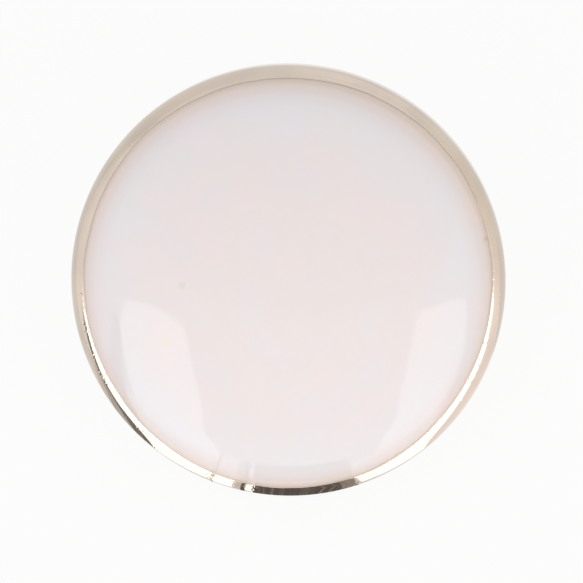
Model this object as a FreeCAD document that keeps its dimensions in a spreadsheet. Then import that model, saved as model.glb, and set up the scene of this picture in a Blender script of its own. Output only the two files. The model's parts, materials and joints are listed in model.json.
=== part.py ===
# Shank button, 20 mm across: a dome of pearl-white resin, poured into a cast metal cup with a loop behind.
#
# The cup and its loop, called the shank, are one casting. From the flat back the cup's outer side turns
# through a wide round into a short straight belt, then over a shoulder to the bevelled lip round the dome.
# The resin fills the cup up to the foot of that lip and rises from there as part of a sphere.
# The shank is a flat lug with a round eye, through which the button is sewn on.
#
# Both pieces are drawn about the button's own axis, with the back face at height 0, the dome up and the
# shank down. They share one placement, which lays the button on a table as it comes to rest: tilted about
# X, with the back round of its rim on the table at -Y and the near edge of the shank's end behind it.
# Lengths are in millimetres and angles in degrees.

import FreeCAD, Part
import Sketcher
import math
import os

SIZES = {
    "button_diameter": 20.0,
    "back_round": 1.2,         # radius between the back face and the belt
    "belt_height": 0.55,       # straight part of the rim's outer side
    "shoulder_round": 0.8,     # radius between the belt and the lip
    "lip_bevel": 0.1,          # width and depth of the bevel from the lip's crest to its foot
    "rim_wall": 0.62,          # thickness of the rim at the foot of the lip
    "cup_floor": 0.9,          # thickness of the metal under the resin
    "cup_corner": 0.4,         # width and height of the bevel between the cup's floor and its wall
    "cup_draft": 3.0,          # lean of the cup's wall, open towards the lip
    "dome_radius": 22.0,       # radius of the sphere that the dome is part of
    "shank_width": 6.4,        # along X, where the shank leaves the back face
    "shank_thickness": 2.2,    # along Y
    "shank_draft": 3.0,        # lean of the shank's two narrow sides
    "shank_corner": 1.5,       # radius at each corner of the shank's end
    "shank_edge_round": 0.3,
    "shank_root_round": 0.35,  # radius between the shank and the back face
    "eye_diameter": 2.4,
    "eye_headroom": 0.9,       # metal between the back face and the eye
    "eye_end_wall": 1.0,       # metal between the eye and the shank's end
    "eye_mouth_round": 0.25,
}
BACK_ARC_RADIUS = "(sizes.button_diameter / 2 - sizes.back_round)"
SHOULDER_ARC_RADIUS = "(sizes.button_diameter / 2 - sizes.shoulder_round)"
SHOULDER_HEIGHT = "(sizes.back_round + sizes.belt_height)"
SHANK_LENGTH = "(sizes.eye_headroom + sizes.eye_diameter + sizes.eye_end_wall)"

# A sketch's own lines: its upright axis, which is the button's axis, and its level axis in the back face
AXIS, LEVEL = range(-2, 0)
START, END, CENTRE = range(1, 4)
NEAR = 1e-4    # how near an edge lies to the plane that it is found by


def make_sheet(doc):
    """The driving dimensions, one row each: the name, then the number with that name as its alias."""
    sheet = doc.addObject("Spreadsheet::Sheet", "sizes")
    for row, (name, value) in enumerate(SIZES.items(), start=1):
        sheet.set(f"A{row}", name)
        sheet.set(f"B{row}", str(value))
        sheet.setAlias(f"B{row}", name)
    doc.recompute()


def make_rest(doc):
    """How the button lies on the table: the tilt of its axis, and how far it is lifted and shifted.

    The table touches two rounds, the rim's back round and the near edge of the shank's end, so it
    lies along the straight line that touches both arcs from below.
    """
    rest = doc.addObject("App::VarSet", "rest")
    for name, kind in (("reach", "Length"), ("drop", "Length"), ("tilt", "Angle"),
                       ("lift", "Distance"), ("shift", "Distance")):
        rest.addProperty(f"App::Property{kind}", name)
    edge_in = "(sizes.shank_thickness / 2 - sizes.shank_edge_round)"
    rest.setExpression("reach", f"({BACK_ARC_RADIUS} - {edge_in}) * 1 mm")
    rest.setExpression("drop", f"(sizes.back_round + {SHANK_LENGTH} - sizes.shank_edge_round) * 1 mm")
    rest.setExpression("tilt", "atan2(drop; reach)"
                       " - asin((sizes.back_round - sizes.shank_edge_round) * 1 mm / hypot(drop; reach))")
    rest.setExpression("lift", f"({BACK_ARC_RADIUS} * sin(tilt)"
                       " + sizes.back_round * (1 - cos(tilt))) * 1 mm")
    farthest = f"({BACK_ARC_RADIUS} * cos(tilt) - sizes.back_round * sin(tilt) + sizes.back_round)"
    nearest = f"({SHOULDER_ARC_RADIUS} * cos(tilt) + {SHOULDER_HEIGHT} * sin(tilt) + sizes.shoulder_round)"
    rest.setExpression("shift", f"({nearest} - {farthest}) / 2 * 1 mm")


def add_body(doc, name):
    """A new body that lies in the rest placement."""
    body = doc.addObject("PartDesign::Body", name)
    body.Placement = FreeCAD.Placement(FreeCAD.Vector(), FreeCAD.Rotation(FreeCAD.Vector(1, 0, 0), 1))
    body.setExpression("Placement.Rotation.Angle", "rest.tilt")
    body.setExpression("Placement.Base.y", "rest.shift")
    body.setExpression("Placement.Base.z", "rest.lift")
    return body


def add_sketch(body, name):
    """A new sketch on the body's XZ plane: its x runs along X and its y along the button's axis."""
    plane = next(part for part in body.Origin.OriginFeatures if part.Role == "XZ_Plane")
    sketch = body.newObject("Sketcher::SketchObject", name)
    sketch.AttachmentSupport = (plane, [""])
    sketch.MapMode = "FlatFace"
    return sketch


def line(x1, y1, x2, y2):
    return Part.LineSegment(FreeCAD.Vector(x1, y1, 0), FreeCAD.Vector(x2, y2, 0))


def circle(x, y, radius):
    return Part.Circle(FreeCAD.Vector(x, y, 0), FreeCAD.Vector(0, 0, 1), radius)


def arc(x, y, radius, start, end):
    """An arc that runs anticlockwise between two angles."""
    return Part.ArcOfCircle(circle(x, y, radius), math.radians(start), math.radians(end))


def relate(sketch, *relations):
    for relation in relations:
        sketch.addConstraint(Sketcher.Constraint(*relation))


def measure(sketch, name, kind, places, expression):
    """Add a dimension and bind it to an expression of the driving sizes."""
    value = sketch.evalExpression(expression)
    if kind == "Angle":
        value = math.radians(value.Value)
    index = sketch.addConstraint(Sketcher.Constraint(kind, *places, value))
    sketch.renameConstraint(index, name)
    sketch.setExpression(f"Constraints.{name}", expression)


def draw_cup(sketch, sizes):
    """Half of the cup's section: out along the back, up the rim, over the lip and down into the cup."""
    outside = sizes["button_diameter"] / 2
    back = sizes["back_round"]
    shoulder = sizes["shoulder_round"]
    shoulder_y = back + sizes["belt_height"]
    wall_x = outside - sizes["rim_wall"]
    crest_x = wall_x + sizes["lip_bevel"]
    turn = math.acos((crest_x - outside + shoulder) / shoulder)
    crest_y = shoulder_y + shoulder * math.sin(turn)
    wall_y = crest_y - sizes["lip_bevel"]
    floor = sizes["cup_floor"]
    foot_y = floor + sizes["cup_corner"]
    foot_x = wall_x - (wall_y - foot_y) * math.tan(math.radians(sizes["cup_draft"]))
    corner_x = foot_x - sizes["cup_corner"]
    sketch.addGeometry([
        line(0, 0, outside - back, 0),
        arc(outside - back, back, back, -90, 0),
        line(outside, back, outside, shoulder_y),
        arc(outside - shoulder, shoulder_y, shoulder, 0, math.degrees(turn)),
        line(crest_x, crest_y, wall_x, wall_y),
        line(wall_x, wall_y, foot_x, foot_y),
        line(foot_x, foot_y, corner_x, floor),
        line(corner_x, floor, 0, floor),
        line(0, floor, 0, 0),
    ])
    base, back_arc, belt, shoulder_arc, lip, wall, corner, bottom, middle = range(9)
    relate(
        sketch,
        ("Coincident", base, START, LEVEL, START),
        ("Horizontal", base),
        ("Tangent", base, END, back_arc, START),
        ("Tangent", back_arc, END, belt, START),
        ("Vertical", belt),
        ("Tangent", belt, END, shoulder_arc, START),
        ("Coincident", shoulder_arc, END, lip, START),
        ("Coincident", lip, END, wall, START),
        ("Coincident", wall, END, corner, START),
        ("Coincident", corner, END, bottom, START),
        ("Horizontal", bottom),
        ("Coincident", bottom, END, middle, START),
        ("Coincident", middle, END, base, START),
        ("Vertical", middle),
    )
    measure(sketch, "outside", "DistanceX", (base, START, belt, START), "sizes.button_diameter / 2")
    measure(sketch, "back_round", "Radius", (back_arc,), "sizes.back_round")
    measure(sketch, "belt", "DistanceY", (belt, START, belt, END), "sizes.belt_height")
    measure(sketch, "shoulder_round", "Radius", (shoulder_arc,), "sizes.shoulder_round")
    measure(sketch, "lip_width", "DistanceX", (lip, END, lip, START), "sizes.lip_bevel")
    measure(sketch, "lip_depth", "DistanceY", (lip, END, lip, START), "sizes.lip_bevel")
    measure(sketch, "rim_wall", "DistanceX", (wall, START, belt, END), "sizes.rim_wall")
    measure(sketch, "draft", "Angle", (wall, END, AXIS, START), "sizes.cup_draft * 1 deg")
    measure(sketch, "corner_width", "DistanceX", (corner, END, corner, START), "sizes.cup_corner")
    measure(sketch, "corner_height", "DistanceY", (corner, END, corner, START), "sizes.cup_corner")
    measure(sketch, "floor", "DistanceY", (base, START, bottom, END), "sizes.cup_floor")
    lip_foot = sketch.addConstraint(Sketcher.Constraint("DistanceY", base, START, wall, START, wall_y))
    sketch.renameConstraint(lip_foot, "lip_foot_height")
    sketch.setDriving(lip_foot, False)


def draw_resin(sketch, cup, sizes):
    """Half of the resin's section: the cup's own floor, corner and wall, and the dome above them."""
    floor = sizes["cup_floor"]
    top_x = sizes["button_diameter"] / 2 - sizes["rim_wall"]
    top_y = cup.getDatum("lip_foot_height").Value
    foot_y = floor + sizes["cup_corner"]
    foot_x = top_x - (top_y - foot_y) * math.tan(math.radians(sizes["cup_draft"]))
    corner_x = foot_x - sizes["cup_corner"]
    centre_y = top_y - math.sqrt(sizes["dome_radius"]**2 - top_x**2)
    rim_angle = math.degrees(math.acos(top_x / sizes["dome_radius"]))
    apex_y = centre_y + sizes["dome_radius"]
    sketch.addGeometry([
        line(0, floor, corner_x, floor),
        line(corner_x, floor, foot_x, foot_y),
        line(foot_x, foot_y, top_x, top_y),
        arc(0, centre_y, sizes["dome_radius"], rim_angle, 90),
        line(0, apex_y, 0, floor),
    ])
    bottom, corner, wall, dome, middle = range(5)
    relate(
        sketch,
        ("PointOnObject", bottom, START, AXIS),
        ("Horizontal", bottom),
        ("Coincident", bottom, END, corner, START),
        ("Coincident", corner, END, wall, START),
        ("Coincident", wall, END, dome, START),
        ("PointOnObject", dome, CENTRE, AXIS),
        ("Coincident", dome, END, middle, START),
        ("Coincident", middle, END, bottom, START),
        ("Vertical", middle),
    )
    measure(sketch, "floor", "DistanceY", (LEVEL, START, bottom, START), "sizes.cup_floor")
    measure(sketch, "corner_width", "DistanceX", (corner, START, corner, END), "sizes.cup_corner")
    measure(sketch, "corner_height", "DistanceY", (corner, START, corner, END), "sizes.cup_corner")
    measure(sketch, "draft", "Angle", (wall, START, AXIS, START), "sizes.cup_draft * 1 deg")
    measure(sketch, "outside", "DistanceX", (LEVEL, START, wall, END),
            "sizes.button_diameter / 2 - sizes.rim_wall")
    measure(sketch, "top", "DistanceY", (LEVEL, START, wall, END),
            "cup_profile.Constraints.lip_foot_height")
    measure(sketch, "dome", "Radius", (dome,), "sizes.dome_radius")


def draw_shank(sketch, sizes):
    """The shank's outline seen along Y: two drafted sides and a flat end between two round corners."""
    half = sizes["shank_width"] / 2
    corner = sizes["shank_corner"]
    draft = math.radians(sizes["shank_draft"])
    length = sketch.evalExpression(SHANK_LENGTH)
    side_y = corner * (1 - math.sin(draft)) - length
    side_x = half + side_y * math.tan(draft)
    corner_x = side_x - corner * math.cos(draft)
    corner_y = corner - length
    sketch.addGeometry([
        line(-half, 0, half, 0),
        line(half, 0, side_x, side_y),
        arc(corner_x, corner_y, corner, -90, -sizes["shank_draft"]),
        line(corner_x, -length, -corner_x, -length),
        arc(-corner_x, corner_y, corner, 180 + sizes["shank_draft"], 270),
        line(-side_x, side_y, -half, 0),
    ])
    root, right, right_corner, end, left_corner, left = range(6)
    relate(
        sketch,
        ("PointOnObject", root, START, LEVEL),
        ("Symmetric", root, START, root, END, LEVEL, START),
        ("Coincident", root, END, right, START),
        ("Tangent", right, END, right_corner, END),
        ("Tangent", right_corner, START, end, START),
        ("Tangent", end, END, left_corner, END),
        ("Tangent", left_corner, START, left, START),
        ("Coincident", left, END, root, START),
        ("Equal", right_corner, left_corner),
        ("Symmetric", end, START, end, END, AXIS),
    )
    measure(sketch, "width", "DistanceX", (root, START, root, END), "sizes.shank_width")
    measure(sketch, "draft", "Angle", (right, END, AXIS, START), "sizes.shank_draft * 1 deg")
    measure(sketch, "corner", "Radius", (right_corner,), "sizes.shank_corner")
    measure(sketch, "length", "DistanceY", (end, START, LEVEL, START), SHANK_LENGTH)


def draw_eye(sketch):
    radius = sketch.evalExpression("sizes.eye_diameter / 2")
    depth = sketch.evalExpression("sizes.eye_headroom") + radius
    sketch.addGeometry(circle(0, -depth, radius))
    eye = 0
    relate(sketch, ("PointOnObject", eye, CENTRE, AXIS))
    measure(sketch, "diameter", "Diameter", (eye,), "sizes.eye_diameter")
    measure(sketch, "depth", "DistanceY", (eye, CENTRE, LEVEL, START),
            "sizes.eye_headroom + sizes.eye_diameter / 2")


def add_revolution(body, name, profile):
    revolution = body.newObject("PartDesign::Revolution", name)
    revolution.Profile = profile
    revolution.ReferenceAxis = (profile, ["V_Axis"])
    revolution.Angle = 360
    return revolution


def add_round(body, name, base, found, size):
    """Round the edges of a feature for which found(edge) is true."""
    base.Document.recompute()
    edges = [f"Edge{number}" for number, edge in enumerate(base.Shape.Edges, start=1) if found(edge)]
    rounded = body.newObject("PartDesign::Fillet", name)
    rounded.Base = (base, edges)
    rounded.setExpression("Radius", f"sizes.{size}")
    return rounded


def make_button_body(doc, sizes):
    """The casting: the cup turned from its section, and the shank with its eye on the cup's back."""
    body = add_body(doc, "button_body")
    profile = add_sketch(body, "cup_profile")
    draw_cup(profile, sizes)
    add_revolution(body, "cup", profile)

    outline = add_sketch(body, "shank_outline")
    draw_shank(outline, sizes)
    shank = body.newObject("PartDesign::Pad", "shank")
    shank.Profile = outline
    shank.SideType = "Symmetric"
    shank.setExpression("Length", "sizes.shank_thickness")

    side = sizes["shank_thickness"] / 2

    def on_broad_side(edge):
        box = edge.BoundBox
        return abs(box.YLength) < NEAR and abs(abs(box.YMin) - side) < NEAR and box.ZMin < -NEAR

    def at_root(edge):
        box = edge.BoundBox
        return abs(box.ZMin) < NEAR and abs(box.ZMax) < NEAR and box.XMax < sizes["shank_width"]

    def at_eye(edge):
        round_edge = isinstance(edge.Curve, Part.Circle)
        return on_broad_side(edge) and round_edge and edge.Closed

    edge_rounds = add_round(body, "edge_rounds", shank, on_broad_side, "shank_edge_round")
    root_round = add_round(body, "root_round", edge_rounds, at_root, "shank_root_round")

    eye_circle = add_sketch(body, "eye_circle")
    draw_eye(eye_circle)
    eye = body.newObject("PartDesign::Pocket", "eye")
    eye.Profile = eye_circle
    eye.SideType = "Symmetric"
    eye.Type = "ThroughAll"
    mouth_rounds = add_round(body, "mouth_rounds", eye, at_eye, "eye_mouth_round")
    doc.recompute()
    if eye.Shape.Volume >= root_round.Shape.Volume:
        raise RuntimeError("the eye doesn't go through the shank")
    body.Tip = mouth_rounds
    return body


def make_resin_dome(doc, sizes):
    """The resin: it takes the inside of the cup as its mould and stands above the lip as a dome."""
    body = add_body(doc, "resin_dome")
    profile = add_sketch(body, "resin_profile")
    draw_resin(profile, doc.getObject("cup_profile"), sizes)
    add_revolution(body, "poured_resin", profile)
    return body


def main():
    doc = FreeCAD.newDocument("shank_button")
    make_sheet(doc)
    make_rest(doc)
    pieces = [make_button_body(doc, SIZES), make_resin_dome(doc, SIZES)]
    doc.recompute()
    for item in doc.Objects:
        if "Invalid" in item.State or "Error" in item.State:
            raise RuntimeError(f"{item.Name} failed to build")
    for piece in pieces:
        if piece.Shape.isNull() or not piece.Shape.isValid():
            raise RuntimeError(f"{piece.Label} has no valid shape")
    os.makedirs("parts", exist_ok=True)
    for piece in pieces:
        piece.Shape.exportStep(f"parts/{piece.Label}.step")
        print(piece.Label, round(piece.Shape.Volume, 3), piece.Shape.optimalBoundingBox(False))


main()
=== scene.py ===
# Shank button, 20 mm across, at rest on a table: a plated casting with a poured resin face.
import json
import math
import bmesh
import bpy
from mathutils import Matrix, Vector, noise


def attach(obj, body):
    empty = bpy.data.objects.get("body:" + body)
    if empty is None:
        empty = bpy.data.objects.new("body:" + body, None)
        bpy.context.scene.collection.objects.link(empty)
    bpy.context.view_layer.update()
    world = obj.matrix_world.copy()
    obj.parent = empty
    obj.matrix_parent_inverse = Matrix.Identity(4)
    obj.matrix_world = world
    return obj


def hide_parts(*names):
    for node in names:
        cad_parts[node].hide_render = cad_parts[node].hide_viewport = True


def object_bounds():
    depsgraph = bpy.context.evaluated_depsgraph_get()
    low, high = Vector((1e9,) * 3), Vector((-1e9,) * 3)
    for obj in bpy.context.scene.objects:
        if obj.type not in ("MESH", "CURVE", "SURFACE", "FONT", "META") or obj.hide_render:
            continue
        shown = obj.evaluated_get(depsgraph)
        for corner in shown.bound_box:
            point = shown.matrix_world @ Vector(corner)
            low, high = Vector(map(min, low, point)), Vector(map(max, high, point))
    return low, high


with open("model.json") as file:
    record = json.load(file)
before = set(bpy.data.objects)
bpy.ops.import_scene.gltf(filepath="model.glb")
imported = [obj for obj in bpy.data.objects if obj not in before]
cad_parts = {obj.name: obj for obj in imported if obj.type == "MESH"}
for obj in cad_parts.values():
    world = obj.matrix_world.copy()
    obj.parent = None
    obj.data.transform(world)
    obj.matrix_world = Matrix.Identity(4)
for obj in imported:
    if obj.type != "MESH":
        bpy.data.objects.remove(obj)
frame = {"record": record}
cad_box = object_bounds()

# The casting: a round cup with a rim and, on its back, a lug with an eye for the thread, all in one piece.
# Zinc alloy, die cast, tumbled smooth and plated a pale champagne gold. The rim is polished to a mirror,
# and the back keeps the satin of the casting. Its section is in millimetres, about the button's own axis.
MM = 0.001
BUTTON_RADIUS = 10.0
BACK_ROUND = 1.2
BELT_HEIGHT = 0.55
SHOULDER_ROUND = 0.8
RIM_WALL = 0.62
LIP_STAND = 0.1
LIP_ROUND = 0.02
LIP_WAVES = ((0, 0.05, 0), (1, 0.05, 47), (2, 0.064, 76), (3, 0.059, 29))
LIP_WANDER = 0.03
WANDER_REACH = 0.24
WANDER_PER_MM = 0.6
WANDER_FALL = 1.0
WANDER_STEP = 2.0
WANDER_OCTAVES = 3
CUP_FLOOR = 0.9
CUP_CORNER = 0.4
CUP_DRAFT = math.radians(3)
FLAT_BORDER = 0.1
BACK_STEPS = 20
SHOULDER_STEPS = 24
LIP_STEPS = 8
LATHE_STEPS = 384

SHANK_LENGTH = 4.3
SHANK_HALF_WIDTH = 3.2
SHANK_HALF_THICKNESS = 1.1
SHANK_DRAFT = math.radians(3)
SHANK_CORNER = 1.5
SHANK_EDGE_ROUND = 0.3
SHANK_ROOT_ROUND = 0.35
ROOT_STEPS = 8
CORNER_STEPS = 14
SHANK_EDGE_STEPS = 8
EYE_RADIUS = 1.2
EYE_DEPTH = 2.1
EYE_MOUTH_ROUND = 0.25
MOUTH_STEPS = 8
EYE_STEPS = 96
NEAR = 1e-4

shank_end = next(mount for mount in frame["record"]["mounts"] if mount["name"] == "shank_end")
down_the_axis = Vector(shank_end["axis"])
button_tilt = math.atan2(down_the_axis.y, -down_the_axis.z)
back_centre = Vector(shank_end["pos_m"]) - down_the_axis * SHANK_LENGTH * MM
button_place = Matrix.Translation(back_centre) @ Matrix.Rotation(button_tilt, 4, "X") @ Matrix.Scale(MM, 4)


def run_to(bm, start, x, z):
    """Draw a straight run of the section from a vertex to x, z."""
    end = bmesh.ops.extrude_vert_indiv(bm, verts=[start])["verts"][0]
    end.co = (x, 0, z)
    return end


def turn_about(bm, start, x, z, angle, steps):
    """Draw an arc of the section from a vertex about the point x, z, from +X towards +Z."""
    turned = bmesh.ops.spin(bm, geom=[start], cent=(x, 0, z), axis=(0, -1, 0), angle=angle, steps=steps)
    return next(item for item in turned["geom_last"] if isinstance(item, bmesh.types.BMVert))


def turn_on_lathe(bm, steps):
    """Turn the section about the upright axis."""
    bmesh.ops.spin(bm, geom=bm.verts[:] + bm.edges[:], cent=(0, 0, 0), axis=(0, 0, 1),
                   angle=2 * math.pi, steps=steps, use_merge=True)
    bmesh.ops.remove_doubles(bm, verts=bm.verts, dist=NEAR)


def to_object(bm, name):
    """Turn a finished bmesh into an object of the scene."""
    mesh = bpy.data.meshes.new(name)
    bm.to_mesh(mesh)
    bm.free()
    finished = bpy.data.objects.new(name, mesh)
    bpy.context.collection.objects.link(finished)
    return finished


def finish_piece(bm, name, node):
    """Bake the piece into its place on the table, where it stands for its CAD node."""
    bmesh.ops.recalc_face_normals(bm, faces=bm.faces)
    bmesh.ops.transform(bm, matrix=button_place, verts=bm.verts)
    piece = to_object(bm, name)
    piece.data.shade_smooth()
    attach(piece, "root")
    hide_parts(node)
    return piece


def let_lip_wander(bm):
    """Move the lip and what touches it to its real course, less and less away from it.

    The cup's mouth isn't a true circle. Each of its waves has its number round the mouth, its height, and
    where it crests in degrees.
    """
    for vert in bm.verts:
        radius = math.hypot(vert.co.x, vert.co.y)
        share = 1 - abs(radius - lip_foot_x) / WANDER_REACH
        if share > 0 and vert.co.z > wall_foot_z:
            outwards = Vector((vert.co.x, vert.co.y, 0)) / radius
            azimuth = math.atan2(vert.co.y, vert.co.x)
            course = sum(height * math.cos(count * (azimuth - math.radians(crest)))
                         for count, height, crest in LIP_WAVES)
            wander = LIP_WANDER * noise.fractal(outwards * BUTTON_RADIUS * WANDER_PER_MM,
                                                WANDER_FALL, WANDER_STEP, WANDER_OCTAVES)
            vert.co += outwards * share * (course + wander)


shoulder_x = BUTTON_RADIUS - SHOULDER_ROUND
shoulder_z = BACK_ROUND + BELT_HEIGHT
lip_foot_x = BUTTON_RADIUS - RIM_WALL
crest_rise = math.sqrt(SHOULDER_ROUND**2 - (lip_foot_x + LIP_STAND - shoulder_x)**2)
lip_foot_z = shoulder_z + crest_rise - LIP_STAND
wall_foot_z = CUP_FLOOR + CUP_CORNER
wall_foot_x = lip_foot_x - (lip_foot_z - wall_foot_z) * math.tan(CUP_DRAFT)

# The lip's small round touches the shoulder's arc from inside, and the lip's upright inner side.
lip_reach = SHOULDER_ROUND - LIP_ROUND
lip_x = lip_foot_x + LIP_ROUND
lip_lean = math.asin((lip_x - shoulder_x) / lip_reach)
lip_z = shoulder_z + lip_reach * math.cos(lip_lean)

casting = bmesh.new()
point = casting.verts.new((BUTTON_RADIUS - BACK_ROUND - FLAT_BORDER, 0, 0))
point = run_to(casting, point, BUTTON_RADIUS - BACK_ROUND, 0)
point = turn_about(casting, point, BUTTON_RADIUS - BACK_ROUND, BACK_ROUND, math.pi / 2, BACK_STEPS)
point = run_to(casting, point, BUTTON_RADIUS, shoulder_z)
point = turn_about(casting, point, shoulder_x, shoulder_z, math.pi / 2 - lip_lean, SHOULDER_STEPS)
point = turn_about(casting, point, lip_x, lip_z, lip_lean + math.pi / 2, LIP_STEPS)
point = run_to(casting, point, lip_foot_x, lip_foot_z)
point = run_to(casting, point, wall_foot_x, wall_foot_z)
point = run_to(casting, point, wall_foot_x - CUP_CORNER, CUP_FLOOR)
run_to(casting, point, 0, CUP_FLOOR)
turn_on_lathe(casting, LATHE_STEPS)
let_lip_wander(casting)
back_edge = [edge for edge in casting.edges if edge.is_boundary]


def shank_levels():
    """The lug's half width, half thickness and height, level by level from its root to its end."""
    def half_width(z):
        return SHANK_HALF_WIDTH + z * math.tan(SHANK_DRAFT)

    skirt = SHANK_ROOT_ROUND + FLAT_BORDER
    yield SHANK_HALF_WIDTH + skirt, SHANK_HALF_THICKNESS + skirt, 0.0
    for step in range(ROOT_STEPS + 1):
        turn = math.pi / 2 * step / ROOT_STEPS
        z = -SHANK_ROOT_ROUND * (1 - math.cos(turn))
        flare = SHANK_ROOT_ROUND * (1 - math.sin(turn))
        yield half_width(z) + flare, SHANK_HALF_THICKNESS + flare, z
    corner_z = SHANK_CORNER - SHANK_LENGTH
    side_x = half_width(corner_z - SHANK_CORNER * math.sin(SHANK_DRAFT))
    corner_x = side_x - SHANK_CORNER * math.cos(SHANK_DRAFT)
    for step in range(CORNER_STEPS + 1):
        turn = SHANK_DRAFT + (math.pi / 2 - SHANK_DRAFT) * step / CORNER_STEPS
        z = corner_z - SHANK_CORNER * math.sin(turn)
        sunk = max(0, SHANK_EDGE_ROUND - (z + SHANK_LENGTH))
        thinned = SHANK_EDGE_ROUND - math.sqrt(SHANK_EDGE_ROUND**2 - sunk**2)
        yield corner_x + SHANK_CORNER * math.cos(turn), SHANK_HALF_THICKNESS - thinned, z


# The lug starts as a rectangle with round corners in the back face and is drawn down level by level. The
# first level only widens that rectangle to the foot of the root's fillet.
corners = bmesh.ops.create_grid(casting, x_segments=1, y_segments=1, size=1)["verts"]
bmesh.ops.scale(casting, vec=(SHANK_HALF_WIDTH, SHANK_HALF_THICKNESS, 1), verts=corners)
bmesh.ops.bevel(casting, geom=corners, affect="VERTICES", offset=SHANK_EDGE_ROUND,
                segments=SHANK_EDGE_STEPS, profile=0.5, material=-1)
root_face = next(face for face in casting.faces if face.calc_center_median().length < NEAR)
root_edge = list(root_face.edges)
bmesh.ops.delete(casting, geom=[root_face], context="FACES_ONLY")
ring = root_edge
width = SHANK_HALF_WIDTH
thickness = SHANK_HALF_THICKNESS
for next_width, next_thickness, z in shank_levels():
    if z < 0 or next_width < width:
        drawn = bmesh.ops.extrude_edge_only(casting, edges=ring)["geom"]
        ring = [item for item in drawn if isinstance(item, bmesh.types.BMEdge)]
    level = list({vert for edge in ring for vert in edge.verts})
    bmesh.ops.scale(casting, vec=(next_width / width, next_thickness / thickness, 1), verts=level)
    bmesh.ops.translate(casting, vec=(0, 0, z - level[0].co.z), verts=level)
    width = next_width
    thickness = next_thickness
bmesh.ops.contextual_create(casting, geom=ring)
bmesh.ops.triangle_fill(casting, edges=back_edge + root_edge, use_beauty=True)

# The eye is turned on the same lathe, laid along Y, and let into the lug's two broad sides.
eye = bmesh.new()
mouth_x = EYE_RADIUS + EYE_MOUTH_ROUND
mouth_z = SHANK_HALF_THICKNESS - EYE_MOUTH_ROUND
point = eye.verts.new((mouth_x + FLAT_BORDER, 0, -SHANK_HALF_THICKNESS))
point = run_to(eye, point, mouth_x, -SHANK_HALF_THICKNESS)
point = turn_about(eye, point, mouth_x, -mouth_z, -math.pi / 2, MOUTH_STEPS)
point = run_to(eye, point, EYE_RADIUS, mouth_z)
point = turn_about(eye, point, mouth_x, mouth_z, -math.pi / 2, MOUTH_STEPS)
run_to(eye, point, mouth_x + FLAT_BORDER, SHANK_HALF_THICKNESS)
turn_on_lathe(eye, EYE_STEPS)
laid_in_shank = Matrix.Translation((0, 0, -EYE_DEPTH)) @ Matrix.Rotation(math.pi / 2, 4, "X")
bmesh.ops.transform(eye, matrix=laid_in_shank, verts=eye.verts)
eye_mesh = bpy.data.meshes.new("eye")
eye.to_mesh(eye_mesh)
eye.free()
broad_sides = [
    face for face in casting.faces
    if all(abs(abs(vert.co.y) - SHANK_HALF_THICKNESS) < NEAR and vert.co.z < 0 for vert in face.verts)]
bmesh.ops.delete(casting, geom=broad_sides, context="FACES")
casting.from_mesh(eye_mesh)
bpy.data.meshes.remove(eye_mesh)
for side in (-SHANK_HALF_THICKNESS, SHANK_HALF_THICKNESS):
    open_edges = [edge for edge in casting.edges
                  if edge.is_boundary and all(abs(vert.co.y - side) < NEAR for vert in edge.verts)]
    bmesh.ops.triangle_fill(casting, edges=open_edges, use_beauty=True)
bmesh.ops.remove_doubles(casting, verts=casting.verts, dist=NEAR)

cast_button = finish_piece(casting, "cast_cup_and_shank", "button_body")


def linear(hex_colour):
    """Turn an sRGB hex colour to the linear RGBA that Blender's sockets take."""
    shares = [int(hex_colour[place:place + 2], 16) / 255 for place in (1, 3, 5)]
    return (*(share / 12.92 if share <= 0.04045 else ((share + 0.055) / 1.055)**2.4 for share in shares), 1)


def add_node(tree, kind, inputs=None, stops=(), **settings):
    """Add a node. An input takes a value, or another node's output, which is linked to it."""
    node = tree.nodes.new(kind)
    for name, value in settings.items():
        setattr(node, name, value)
    for name, value in (inputs or {}).items():
        if isinstance(value, bpy.types.NodeSocket):
            tree.links.new(value, node.inputs[name])
        else:
            node.inputs[name].default_value = value
    for number, (position, hex_colour) in enumerate(stops):
        ramp = node.color_ramp.elements
        stop = ramp[number] if number < len(ramp) else ramp.new(1.0)
        stop.position = position
        stop.color = linear(hex_colour)
    return node


def empty_tree(owner):
    """Turn on the nodes of a material or a world, and clear them."""
    owner.use_nodes = True
    owner.node_tree.nodes.clear()
    return owner.node_tree


def new_material(name):
    """A material with an empty tree, and its place in the button's own frame, in millimetres."""
    material = bpy.data.materials.new(name)
    tree = empty_tree(material)
    coordinates = add_node(tree, "ShaderNodeTexCoord")
    turned_back = Matrix.Rotation(-button_tilt, 3, "X")
    place = add_node(tree, "ShaderNodeMapping", {
        "Vector": coordinates.outputs["Object"],
        "Location": -(turned_back @ back_centre) / MM,
        "Rotation": (-button_tilt, 0, 0),
        "Scale": (1 / MM, 1 / MM, 1 / MM),
    })
    return material, tree, place.outputs["Vector"]


# Champagne-gold plating: a metal's mirror, polished on the rim and satin on the back. The casting under it
# is a little wavy, most of all beside the lip, and tumbling leaves fine pits. All lengths are in millimetres,
# and a pit's two widths are shares of the pits' spacing.
PATCH_SIZE = 2.5
BACK_ENDS_AT = 0.6
POLISHED_ROUGHNESS = 0.08
SATIN_ROUGHNESS = 0.3
WAVE_SIZE = 0.6
WAVE_HEIGHT = 0.002
LIP_WAVE_REACH = 0.25
LIP_WAVE_HEIGHT = 0.008
PIT_SPACING = 0.25
PIT_WIDTHS = (0.05, 0.3)
PIT_DEPTH = 0.005
GRAIN_SIZE = 0.09
POLISHED_GRAIN = 0.0002
SATIN_GRAIN = 0.002

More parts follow.
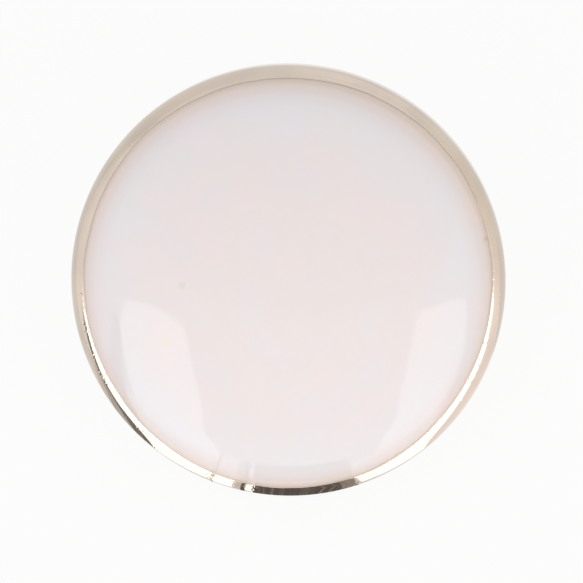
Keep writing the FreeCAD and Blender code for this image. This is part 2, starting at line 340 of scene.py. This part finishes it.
gold, tree, place = new_material("champagne_gold_plating")
spread = add_node(tree, "ShaderNodeVectorMath", {0: place, 1: (1, 1, 0)}, operation="MULTIPLY")
radius = add_node(tree, "ShaderNodeVectorMath", {0: spread.outputs["Vector"]}, operation="LENGTH")
height = add_node(tree, "ShaderNodeSeparateXYZ", {"Vector": place})
patches = add_node(tree, "ShaderNodeTexNoise", {"Vector": place, "Scale": 1 / PATCH_SIZE, "Detail": 3.0})
plating = add_node(tree, "ShaderNodeValToRGB", {"Fac": patches.outputs["Fac"]},
                   stops=((0.35, "#D3C7B9"), (0.65, "#CBBFB3")))
back = add_node(tree, "ShaderNodeMapRange", {
    "Value": height.outputs["Z"], "From Min": 0.0, "From Max": BACK_ENDS_AT, "To Min": 1.0, "To Max": 0.0})
roughness = add_node(tree, "ShaderNodeMapRange", {
    "Value": back.outputs["Result"], "To Min": POLISHED_ROUGHNESS, "To Max": SATIN_ROUGHNESS})
by_the_lip = add_node(tree, "ShaderNodeMapRange", {
    "Value": radius.outputs["Value"], "From Min": lip_x + LIP_WAVE_REACH, "From Max": lip_x,
    "To Min": WAVE_HEIGHT, "To Max": LIP_WAVE_HEIGHT})
waves = add_node(tree, "ShaderNodeTexNoise", {
    "Vector": place, "Scale": 1 / WAVE_SIZE, "Detail": 4.0, "Roughness": 0.65})
wave_height = add_node(tree, "ShaderNodeMath", {
    0: waves.outputs["Fac"], 1: by_the_lip.outputs["Result"]}, operation="MULTIPLY")
pits = add_node(tree, "ShaderNodeTexVoronoi", {"Vector": place, "Scale": 1 / PIT_SPACING})
pit_depth = add_node(tree, "ShaderNodeMapRange", {
    "Value": pits.outputs["Distance"], "From Min": PIT_WIDTHS[0], "From Max": PIT_WIDTHS[1],
    "To Min": -PIT_DEPTH, "To Max": 0.0})
grain = add_node(tree, "ShaderNodeTexNoise", {"Vector": place, "Scale": 1 / GRAIN_SIZE, "Detail": 2.0})
grain_height = add_node(tree, "ShaderNodeMapRange", {
    "Value": back.outputs["Result"], "To Min": POLISHED_GRAIN, "To Max": SATIN_GRAIN})
skin = add_node(tree, "ShaderNodeMath", {
    0: grain.outputs["Fac"], 1: grain_height.outputs["Result"], 2: wave_height.outputs["Value"]},
    operation="MULTIPLY_ADD")
pitted_skin = add_node(tree, "ShaderNodeMath", {0: skin.outputs["Value"], 1: pit_depth.outputs["Result"]},
                       operation="ADD")
skin_bump = add_node(tree, "ShaderNodeBump", {
    "Height": pitted_skin.outputs["Value"], "Strength": 1.0, "Distance": MM})
shader = add_node(tree, "ShaderNodeBsdfPrincipled", {
    "Base Color": plating.outputs["Color"], "Metallic": 1.0,
    "Roughness": roughness.outputs["Result"], "Normal": skin_bump.outputs["Normal"]})
add_node(tree, "ShaderNodeOutputMaterial", {"Surface": shader.outputs["BSDF"]})
cast_button.data.materials.append(gold)

# The face: epoxy resin with pearl pigment, poured into the cup until it stands above the lip as a drop does,
# flatter in the middle and steeper at the edge. It sets hard, one solid piece bonded to the metal. Its edge
# creeps up to the lip's crest, a little further at -Y than at +Y.
CROWN_RADIUS = 25.0
CROWN_REACH = 7.8
EDGE_RADIUS = 6.0
EDGE_BELOW_CREST = 0.005
EDGE_LEVEL_OFF = 0.005
CROWN_STEPS = 32
EDGE_STEPS = 16

crown_lean = math.asin(CROWN_REACH / CROWN_RADIUS)
edge_lean = math.asin(math.sin(crown_lean) + (lip_x - CROWN_REACH) / EDGE_RADIUS)
edge_centre_x = lip_x - EDGE_RADIUS * math.sin(edge_lean)
edge_centre_z = lip_z + LIP_ROUND - EDGE_BELOW_CREST - EDGE_RADIUS * math.cos(edge_lean)
crown_centre_z = edge_centre_z - (CROWN_RADIUS - EDGE_RADIUS) * math.cos(crown_lean)

resin = bmesh.new()
point = resin.verts.new((0, 0, crown_centre_z + CROWN_RADIUS))
point = turn_about(resin, point, 0, crown_centre_z, -crown_lean, CROWN_STEPS)
point = turn_about(resin, point, edge_centre_x, edge_centre_z, crown_lean - edge_lean, EDGE_STEPS)
point = run_to(resin, point, lip_foot_x, lip_z)
point = run_to(resin, point, lip_foot_x, lip_foot_z)
point = run_to(resin, point, wall_foot_x, wall_foot_z)
point = run_to(resin, point, wall_foot_x - CUP_CORNER, CUP_FLOOR)
run_to(resin, point, 0, CUP_FLOOR)
turn_on_lathe(resin, LATHE_STEPS)
for vert in resin.verts:
    reach = math.hypot(vert.co.x, vert.co.y)
    if reach > CROWN_REACH and vert.co.z > lip_foot_z + NEAR:
        share = (reach - CROWN_REACH) / (lip_x - CROWN_REACH)
        vert.co.z -= EDGE_LEVEL_OFF * share**2 * vert.co.y / reach
let_lip_wander(resin)
poured_face = finish_piece(resin, "poured_resin_face", "resin_dome")

# Pearl epoxy: milky white with a faint pink, glossy. The pigment lies in it in faint clouds. Towards the edge
# it turns cooler, and in the last half millimetre it turns beige and darker, most at +Y, where the edge is
# thinnest: partly the gold of the wall seen through the thin resin, and partly painted shade of the lip on
# the resin's edge, darkest where the resin meets the lip. Three small marks are cured in.
CLOUD_SIZE = 2.2
# Moves the edge's tint and its painted shade a little further in at +Y.
EDGE_TINT_AND_SHADE_SHIFT = 0.06
# The tints, and the painted shade at the edge, run from the middle to the edge by the share of the button's
# radius.
TINTS_AND_EDGE_SHADE = (
    (0.0, "#EEE6E6"), (0.6, "#EDE6E7"), (0.76, "#EBE7EA"), (0.83, "#EAE7EB"), (0.88, "#E9E3E5"),
    (0.908, "#E6DCDA"), (0.918, "#E5DAD6"), (0.927, "#E2D4CD"), (0.937, "#D9CBC3"), (0.946, "#DBCDC1"))
# Each mark has its x, y and radius in millimetres, and its colour.
MARKS = ((-4.7, 0.1, 0.24, "#E2DEDC"), (-5.49, -2.57, 0.3, "#EDE4DA"), (9.12, 2.13, 0.15, "#CBBBB1"))
MARK_CORE = 0.3

pearl, tree, place = new_material("pearl_epoxy")
spread = add_node(tree, "ShaderNodeVectorMath", {
    0: place, 1: (1 / BUTTON_RADIUS, 1 / BUTTON_RADIUS, 0), 2: (0, EDGE_TINT_AND_SHADE_SHIFT / BUTTON_RADIUS, 0)},
    operation="MULTIPLY_ADD")
radius = add_node(tree, "ShaderNodeVectorMath", {0: spread.outputs["Vector"]}, operation="LENGTH")
# The ramp's last stops are partly painted shade at the resin's edge, by the lip.
tint_and_edge_shade = add_node(tree, "ShaderNodeValToRGB", {"Fac": radius.outputs["Value"]}, stops=TINTS_AND_EDGE_SHADE)
cloud_noise = add_node(tree, "ShaderNodeTexNoise", {"Vector": place, "Scale": 1 / CLOUD_SIZE, "Detail": 3.0})
clouds = add_node(tree, "ShaderNodeValToRGB", {"Fac": cloud_noise.outputs["Fac"]}, stops=(
    (0.3, "#FFFBFB"), (0.5, "#FCFCFA"), (0.7, "#FBFCFE")))
# Of a Mix node for colours, sockets 0, 6 and 7 are the share and the two colours, and 2 is the result.
clouded = add_node(tree, "ShaderNodeMix", {0: 1.0, 6: tint_and_edge_shade.outputs["Color"], 7: clouds.outputs["Color"]},
                   data_type="RGBA", blend_type="MULTIPLY")
colour = clouded.outputs[2]
flat_place = add_node(tree, "ShaderNodeVectorMath", {0: place, 1: (1, 1, 0)}, operation="MULTIPLY")
for mark_x, mark_y, mark_radius, mark_colour in MARKS:
    distance = add_node(tree, "ShaderNodeVectorMath", {
        0: flat_place.outputs["Vector"], 1: (mark_x, mark_y, 0)}, operation="DISTANCE")
    inside = add_node(tree, "ShaderNodeMapRange", {
        "Value": distance.outputs["Value"], "From Min": MARK_CORE * mark_radius, "From Max": mark_radius,
        "To Min": 1.0, "To Max": 0.0})
    marked = add_node(tree, "ShaderNodeMix", {
        0: inside.outputs["Result"], 6: colour, 7: linear(mark_colour)}, data_type="RGBA")
    colour = marked.outputs[2]
shader = add_node(tree, "ShaderNodeBsdfPrincipled", {"Base Color": colour, "Roughness": 0.05, "IOR": 1.5})
add_node(tree, "ShaderNodeOutputMaterial", {"Surface": shader.outputs["BSDF"]})
poured_face.data.materials.append(pearl)

# The table: a plain sheet of pale paper that carries the button's shadow. The camera sees it nearly white,
# and so do mirrors.
TABLE_RADIUS = 1.4
ROUND_STEPS = 96
WHITE_SHARE = 0.91


def white_view(tree):
    """How white the table and the sky look: 1 to the camera, mirrors and glass, and 0 to all else."""
    rays = add_node(tree, "ShaderNodeLightPath")
    seen = add_node(tree, "ShaderNodeMath", {
        0: rays.outputs["Is Camera Ray"], 1: rays.outputs["Is Glossy Ray"]}, operation="MAXIMUM")
    seen_or_through = add_node(tree, "ShaderNodeMath", {
        0: seen.outputs["Value"], 1: rays.outputs["Is Transmission Ray"]}, operation="MAXIMUM")
    return seen_or_through.outputs["Value"]


sheet_of_paper = bmesh.new()
bmesh.ops.create_circle(sheet_of_paper, cap_ends=True, radius=TABLE_RADIUS, segments=ROUND_STEPS)
table = to_object(sheet_of_paper, "table")
paper = bpy.data.materials.new("white_paper")
tree = empty_tree(paper)
whitened = add_node(tree, "ShaderNodeMath", {0: white_view(tree), 1: WHITE_SHARE}, operation="MULTIPLY")
matt = add_node(tree, "ShaderNodeBsdfDiffuse", {"Color": linear("#ECEBE9")})
white = add_node(tree, "ShaderNodeEmission", {"Color": linear("#FFFFFF"), "Strength": 1.0})
both = add_node(tree, "ShaderNodeMixShader", {
    "Fac": whitened.outputs["Value"], 1: matt.outputs["BSDF"], 2: white.outputs["Emission"]})
add_node(tree, "ShaderNodeOutputMaterial", {"Surface": both.outputs["Shader"]})
table.data.materials.append(paper)

# The studio: a pale tent and two soft boxes, low in front at the left and the right, which draw the two soft
# highlights on the dome. White, warm, grey and black cards on the table glow, give no light and show only as
# mirror images. The white ones are painted light, the table lit bright below the boxes, and the two sheets
# flat beside the dark card are its painted shadow, fading outwards.
ROOM_LIGHT = 0.905
WALL_LIGHT = 1.25
WALL_RADIUS = 1.35
WALL_HEIGHT = 1.5
BOX_LIGHT = 2.6
BOX_DISTANCE = 1.0
CARD_DISTANCE = 1.2
CARD_LIFT = 0.00003
CARD_STEPS = 8
STREAKS_PER_RADIAN = 60.0
STREAK_FLATTENED = 0.03
# The tones of the tent's cloth round the button, from -X over -Y, +X and +Y back to -X.
TENT_TONES = (
    (0.0, "#EFEDED"), (0.058, "#F6F5F3"), (0.081, "#F4F1F1"), (0.25, "#FFFDFB"), (0.431, "#FFF9F8"),
    (0.462, "#F8F1EA"), (0.496, "#EEE8E3"), (0.547, "#E7E2DB"), (0.6, "#E6E5E3"), (0.696, "#F2F0F1"),
    (0.758, "#E7E7E7"), (0.903, "#E1DCDD"), (0.94, "#D9D9D9"), (0.975, "#EBE9EA"), (1.0, "#EFEDED"))
button_centre = Vector((0, 0, cad_box[1][2] / 2))


def tone_of_tent(tree, direction):
    """The tone of the tent's cloth in a direction from the button."""
    azimuth = add_node(tree, "ShaderNodeTexGradient", {"Vector": direction}, gradient_type="RADIAL")
    tones = add_node(tree, "ShaderNodeValToRGB", {"Fac": azimuth.outputs["Fac"]}, stops=TENT_TONES)
    return tones.outputs["Color"]


world = bpy.data.worlds.new("studio")
bpy.context.scene.world = world
tree = empty_tree(world)
coordinates = add_node(tree, "ShaderNodeTexCoord")
tent = add_node(tree, "ShaderNodeBackground", {
    "Color": tone_of_tent(tree, coordinates.outputs["Generated"]), "Strength": ROOM_LIGHT})
plain_white = add_node(tree, "ShaderNodeBackground", {"Color": linear("#FFFFFF"), "Strength": 1.0})
sky = add_node(tree, "ShaderNodeMixShader", {
    "Fac": white_view(tree), 1: tent.outputs["Background"], 2: plain_white.outputs["Background"]})
add_node(tree, "ShaderNodeOutputWorld", {"Surface": sky.outputs["Shader"]})


def glowing(name, hex_colour, strength, streak_colour=None):
    """A material that shines, evenly or with upright streaks that are a degree wide, seen from the button."""
    material = bpy.data.materials.new(name)
    tree = empty_tree(material)
    glow = add_node(tree, "ShaderNodeEmission", {"Color": linear(hex_colour), "Strength": strength})
    if streak_colour:
        coordinates = add_node(tree, "ShaderNodeTexCoord")
        level = add_node(tree, "ShaderNodeVectorMath", {
            0: coordinates.outputs["Object"], 1: (1, 1, STREAK_FLATTENED)}, operation="MULTIPLY")
        direction = add_node(tree, "ShaderNodeVectorMath", {0: level.outputs["Vector"]},
                             operation="NORMALIZE")
        unevenness = add_node(tree, "ShaderNodeTexNoise", {
            "Vector": direction.outputs["Vector"], "Scale": STREAKS_PER_RADIAN,
            "Detail": 3.0, "Roughness": 0.6})
        streaks = add_node(tree, "ShaderNodeValToRGB", {"Fac": unevenness.outputs["Fac"]},
                           stops=((0.5, hex_colour), (0.72, streak_colour)))
        tree.links.new(streaks.outputs["Color"], glow.inputs["Color"])
    add_node(tree, "ShaderNodeOutputMaterial", {"Surface": glow.outputs["Emission"]})
    return material


def towards(azimuth, elevation):
    """A direction from two angles in degrees: azimuth from +X towards +Y, and elevation above the table."""
    level = math.cos(math.radians(elevation))
    return Vector((level * math.cos(math.radians(azimuth)), level * math.sin(math.radians(azimuth)),
                   math.sin(math.radians(elevation))))


def stand_in_studio(bm, name, material):
    """Add a panel that the camera doesn't see and that casts no shadow."""
    panel = to_object(bm, name)
    panel.data.materials.append(material)
    panel.visible_camera = False
    panel.visible_shadow = False
    return panel


# The tent's wall is seen as a mirror image only.
cloth = bpy.data.materials.new("tent_cloth")
tree = empty_tree(cloth)
coordinates = add_node(tree, "ShaderNodeTexCoord")
glow = add_node(tree, "ShaderNodeEmission", {
    "Color": tone_of_tent(tree, coordinates.outputs["Object"]), "Strength": WALL_LIGHT})
add_node(tree, "ShaderNodeOutputMaterial", {"Surface": glow.outputs["Emission"]})
wall = bmesh.new()
bmesh.ops.create_cone(wall, segments=ROUND_STEPS, radius1=WALL_RADIUS, radius2=WALL_RADIUS,
                      depth=2 * WALL_HEIGHT)
wall_panel = stand_in_studio(wall, "tent_wall", cloth)
wall_panel.visible_diffuse = False

# Each box starts just above the table and leans in. Its corners are directions from the button in degrees.
SOFT_BOXES = {
    "left": ((-140.0, 36.0), (-133.0, 39.3), (-123.0, 39.3), (-113.0, 25.0), (-109.0, 12.0), (-108.5, 0.5),
             (-132.5, 0.5), (-135.5, 21.0)),
    "right": ((-36.0, 32.5), (-44.0, 39.5), (-54.5, 42.0), (-68.0, 25.0), (-72.0, 0.5), (-54.0, 0.5),
              (-41.0, 18.0)),
}
box_glow = glowing("soft_box_cloth", "#FFFFFF", BOX_LIGHT)
for side, corners in SOFT_BOXES.items():
    box = bmesh.new()
    box.faces.new([box.verts.new(button_centre + BOX_DISTANCE * towards(*corner)) for corner in corners])
    stand_in_studio(box, f"soft_box_{side}", box_glow)

# Painted light: glows at twice white, as the table lit bright below the soft boxes.
painted_light_card = glowing("painted_light_card", "#FFFFFF", 2.05)
warm_card = glowing("warm_card", "#FFF9FB", 1.2)
# Pale sheet: a pale bar, and the outer end of the dark card's painted shadow on the table.
pale_bar_and_shadow_card = glowing("pale_bar_and_shadow_card", "#EEEBE8", 1.0)
# Painted shadow of the dark card on the table, its inner and darker part.
painted_shadow_card = glowing("painted_shadow_card", "#D6D4D4", 1.0, "#A9A5A3")
grey_card = glowing("grey_card", "#9C958F", 1.0, "#C9C4BF")
dark_card = glowing("dark_card", "#7E7A77", 1.0, "#C4C1BE")
black_card = glowing("black_card", "#686362", 1.0, "#ADA6A2")
# Each card lies on the table from close by the button outwards and then stands up. Its row gives, in degrees
# round the button, where its two sides are at its near end, at its foot and at its top, then how near it
# comes in millimetres, how high it stands in degrees, and what it is.
CARDS = (
    ((-47.0, -12.0), (-47.5, -10.0), (-47.5, -10.0), 10.3, 0.5, warm_card),
    ((-68.2, -47.0), (-78.5, -47.5), (-78.5, -47.5), 10.5, 0.5, painted_light_card),
    ((-73.0, -68.2), (-81.7, -78.5), (-82.0, -79.1), 9.0, 4.5, grey_card),
    ((-101.1, -73.0), (-100.7, -81.7), (-100.4, -79.9), 9.0, 4.5, black_card),
    ((-103.7, -101.1), (-101.4, -100.7), (-101.1, -100.4), 10.0, 4.5, painted_light_card),
    ((-105.1, -103.7), (-102.7, -101.4), (-102.3, -101.1), 9.0, 5.0, black_card),
    ((-107.5, -105.1), (-104.2, -102.7), (-103.7, -102.3), 9.0, 5.0, pale_bar_and_shadow_card),
    ((-114.0, -107.5), (-108.5, -104.2), (-107.8, -103.7), 10.0, 4.5, painted_light_card),
    ((-114.6, -114.0), (-109.0, -108.5), (-108.2, -107.8), 9.0, 5.0, grey_card),
    ((-133.0, -114.6), (-136.4, -109.0), (-136.4, -108.6), 10.5, 4.5, painted_light_card),
    ((-142.0, -133.0), (-144.0, -136.4), (-144.0, -137.5), 10.3, 30.0, dark_card),
    # These two sheets, flat on the table, are the dark card's painted shadow, lighter further out.
    ((-151.0, -142.0), (-149.5, -144.0), (-149.5, -144.0), 10.3, 0.5, painted_shadow_card),
    ((-157.0, -151.0), (-155.0, -149.5), (-155.0, -149.5), 10.3, 0.5, pale_bar_and_shadow_card),
)
for number, (near_sides, foot_sides, top_sides, nearest, top, material) in enumerate(CARDS):
    card = bmesh.new()
    bmesh.ops.create_grid(card, x_segments=CARD_STEPS, y_segments=2, size=1)
    # The grid's three rows, at -1, 0 and 1 along Y, go to the near end, the foot and the top.
    levels = (
        (near_sides, nearest * MM, CARD_LIFT),
        (foot_sides, CARD_DISTANCE, CARD_LIFT),
        (top_sides, CARD_DISTANCE, CARD_DISTANCE * math.tan(math.radians(top))))
    for vert in card.verts:
        sides, reach, height = levels[round(vert.co.y) + 1]
        azimuth = sides[0] + (sides[1] - sides[0]) * (vert.co.x + 1) / 2
        vert.co = towards(azimuth, 0) * reach + Vector((0, 0, height))
    panel = stand_in_studio(card, f"card_{number}", material)
    panel.visible_diffuse = False

# The camera looks down on the face from 30 cm through a long lens, 8 degrees above the button's axis and a
# little to its right.
CAMERA_DISTANCE = 0.3
VIEW_ABOVE_AXIS = math.radians(8)
VIEW_FROM_RIGHT = math.radians(3.3)
VIEW_WIDTH = 26.8 * MM
AIM = Vector((0.16, -0.48)) * MM
NEAREST_SEEN = 0.01

camera = bpy.data.objects.new("camera", bpy.data.cameras.new("camera"))
bpy.context.collection.objects.link(camera)
across = Matrix.Rotation(VIEW_FROM_RIGHT, 3, "Y")
view_turn = Matrix.Rotation(button_tilt, 3, "X") @ across @ Matrix.Rotation(-VIEW_ABOVE_AXIS, 3, "X")
face_centre = button_place @ Vector((0, 0, shoulder_z))
camera.location = face_centre + view_turn @ Vector((AIM.x, AIM.y, CAMERA_DISTANCE))
camera.rotation_euler = view_turn.to_euler()
camera.data.lens = camera.data.sensor_width * CAMERA_DISTANCE / VIEW_WIDTH
camera.data.clip_start = NEAREST_SEEN
bpy.context.scene.camera = camera

bpy.context.scene.view_settings.view_transform = "Standard"
